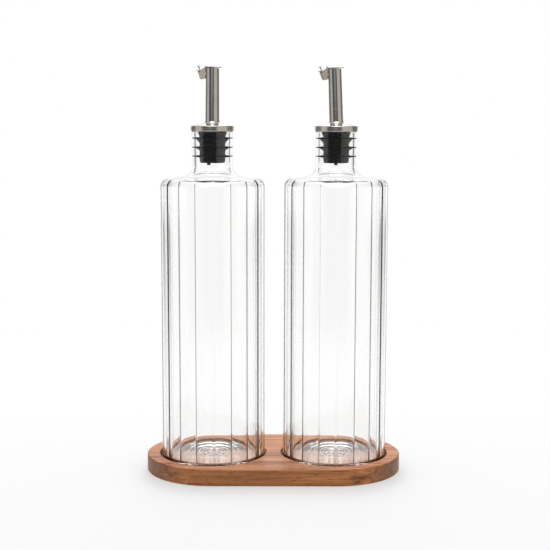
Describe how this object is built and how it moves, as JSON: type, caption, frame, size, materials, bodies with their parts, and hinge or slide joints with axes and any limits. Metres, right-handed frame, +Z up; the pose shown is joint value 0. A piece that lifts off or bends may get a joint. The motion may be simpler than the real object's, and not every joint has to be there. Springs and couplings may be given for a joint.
{
  "type": "cruet set",
  "caption": "Fluted clear glass oil and vinegar bottles with flip-top steel pourers, standing in recesses of a round-ended wooden tray.",
  "frame": {"origin": "centre of the tray's underside", "axes": "+X along the tray through both bottles, -Y its front, +Z up"},
  "size_m": [0.177, 0.092, 0.2801],
  "materials": {
    "wood": "oiled hardwood with fine grain",
    "glass": "clear pressed glass",
    "steel": "satin stainless steel",
    "rubber": "smooth black rubber",
    "plastic": "black plastic tube"
  },
  "bodies": {
    "tray": {"tray": "wood"},
    "left_bottle": {"left_bottle": "glass"},
    "left_stopper": {"left_stopper": "rubber"},
    "left_pourer": {"left_pourer_cap": "steel", "left_spout_tube": "steel", "left_air_tube": "plastic", "left_hinge_bracket": "steel", "left_hinge_pin": "steel"},
    "left_lid": {"left_flip_lid": "steel"},
    "right_bottle": {"right_bottle": "glass"},
    "right_stopper": {"right_stopper": "rubber"},
    "right_pourer": {"right_pourer_cap": "steel", "right_spout_tube": "steel", "right_air_tube": "plastic", "right_hinge_bracket": "steel", "right_hinge_pin": "steel"},
    "right_lid": {"right_flip_lid": "steel"}
  },
  "joints": [
    {"name": "left_bottle_lift", "type": "slide", "parent": "tray", "child": "left_bottle", "axis": [0, 0, 1], "range_m": [0, 0.03]},
    {"name": "left_stopper_pull", "type": "slide", "parent": "left_bottle", "child": "left_stopper", "axis": [0, 0, 1], "range_m": [0, 0.03]},
    {"name": "left_pourer_turn", "type": "hinge", "parent": "left_stopper", "child": "left_pourer", "pos_m": [-0.042, 0, 0.235], "axis": [0, 0, 1], "continuous": true},
    {"name": "left_lid_swing", "type": "hinge", "parent": "left_pourer", "child": "left_lid", "pos_m": [-0.04827, 0.00624, 0.27586], "axis": [-0.6883, -0.7254, 0.006], "range_deg": [0, 80]},
    {"name": "right_bottle_lift", "type": "slide", "parent": "tray", "child": "right_bottle", "axis": [0, 0, 1], "range_m": [0, 0.03]},
    {"name": "right_stopper_pull", "type": "slide", "parent": "right_bottle", "child": "right_stopper", "axis": [0, 0, 1], "range_m": [0, 0.03]},
    {"name": "right_pourer_turn", "type": "hinge", "parent": "right_stopper", "child": "right_pourer", "pos_m": [0.0425, 0, 0.235], "axis": [0, 0, 1], "continuous": true},
    {"name": "right_lid_swing", "type": "hinge", "parent": "right_pourer", "child": "right_lid", "pos_m": [0.03474, 0.00641, 0.27553], "axis": [-0.7066, -0.7071, -0.0271], "range_deg": [0, 80]}
  ]
}
